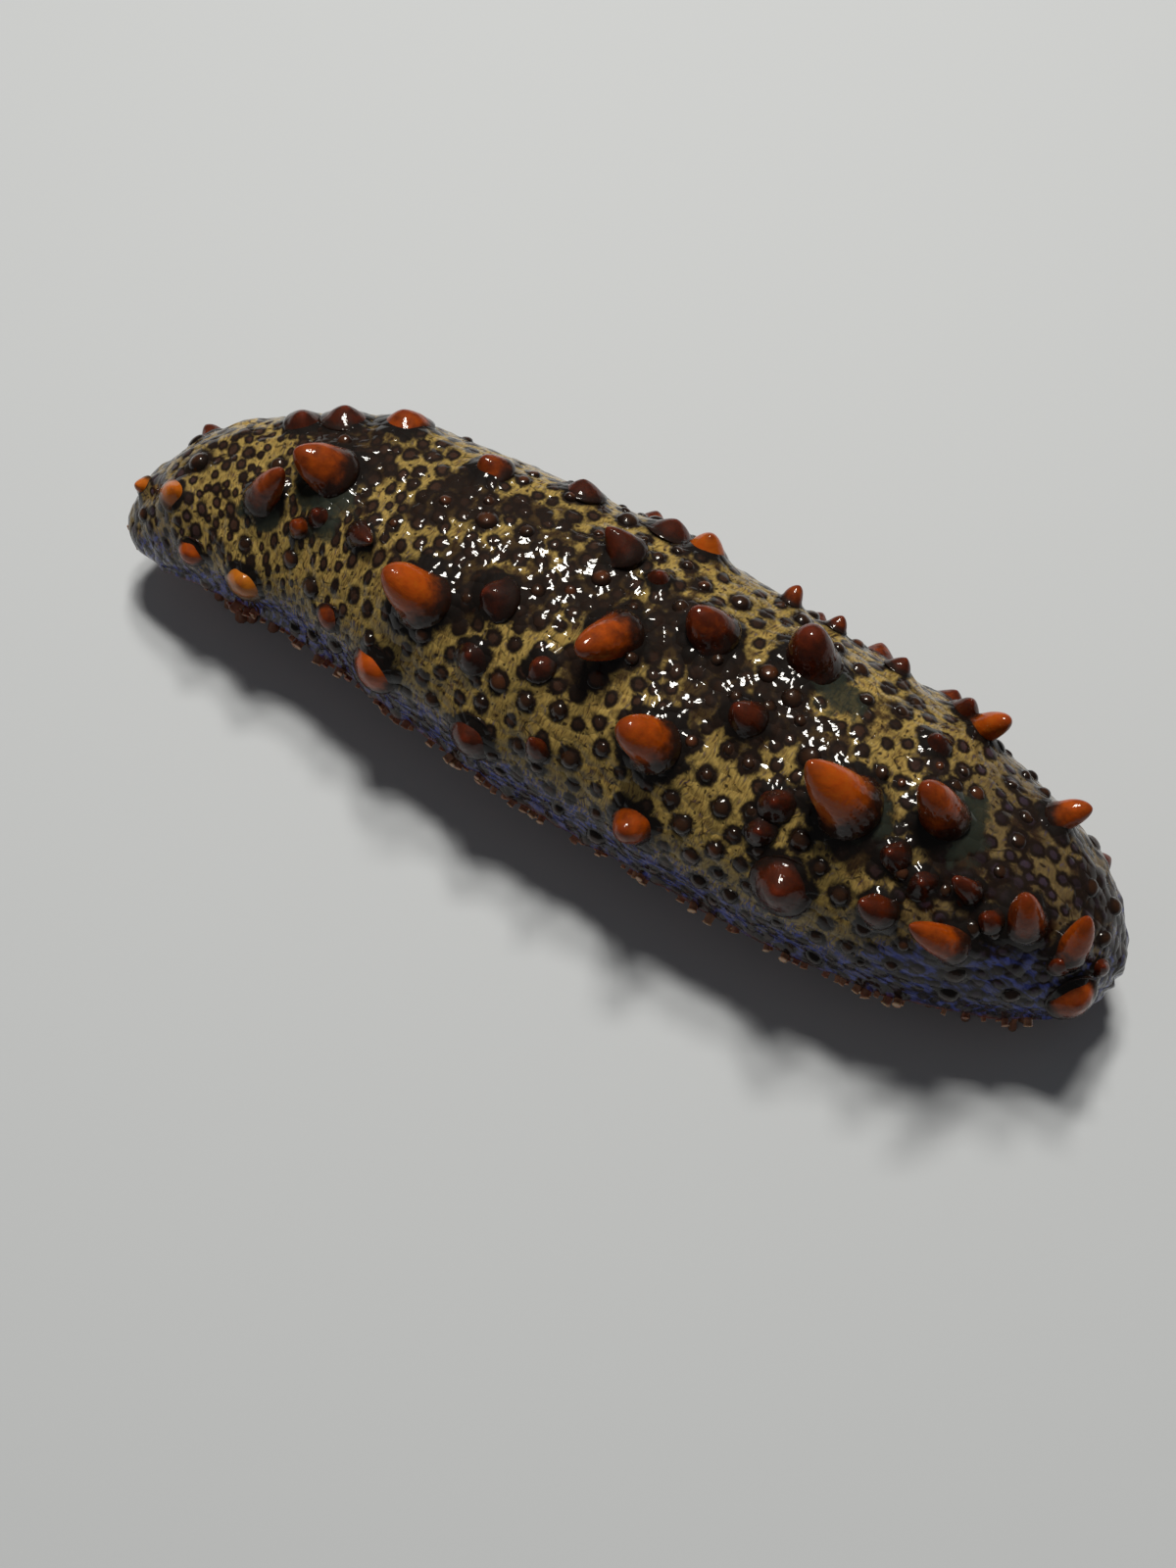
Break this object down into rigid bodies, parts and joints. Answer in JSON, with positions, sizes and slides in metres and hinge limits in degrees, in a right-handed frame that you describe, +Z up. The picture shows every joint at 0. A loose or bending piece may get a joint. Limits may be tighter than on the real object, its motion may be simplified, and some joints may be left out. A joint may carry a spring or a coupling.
{
  "type": "sea cucumber",
  "caption": "Giant sea cucumber, drawn in and plump, as a still life-size model: a tapering body with conical papillae on its back and tube feet under a flat sole.",
  "frame": {"origin": "on the floor, under the middle of the model's box", "axes": "+X towards the vent, with the head end at -X turned to the animal's left; +Y towards the animal's right; +Z up"},
  "size_m": [0.2432, 0.0746, 0.0661],
  "materials": {
    "back_skin": "wet leathery skin, khaki with dark brown ring spots",
    "sole_skin": "wet smooth skin, pale reddish brown",
    "mouth_and_vent": "wet dark brown flesh",
    "papillae": "wet, slightly translucent, orange to dark red-brown",
    "tube_feet": "wet, translucent, pinkish orange"
  },
  "bodies": {
    "root": {"mouth": "mouth_and_vent", "head_end": "back_skin", "trunk_front": "back_skin", "trunk_middle": "back_skin", "trunk_rear": "back_skin", "tail_end": "back_skin", "vent": "mouth_and_vent", "sole_front": "sole_skin", "sole_middle": "sole_skin", "sole_rear": "sole_skin"}
  },
  "joints": []
}
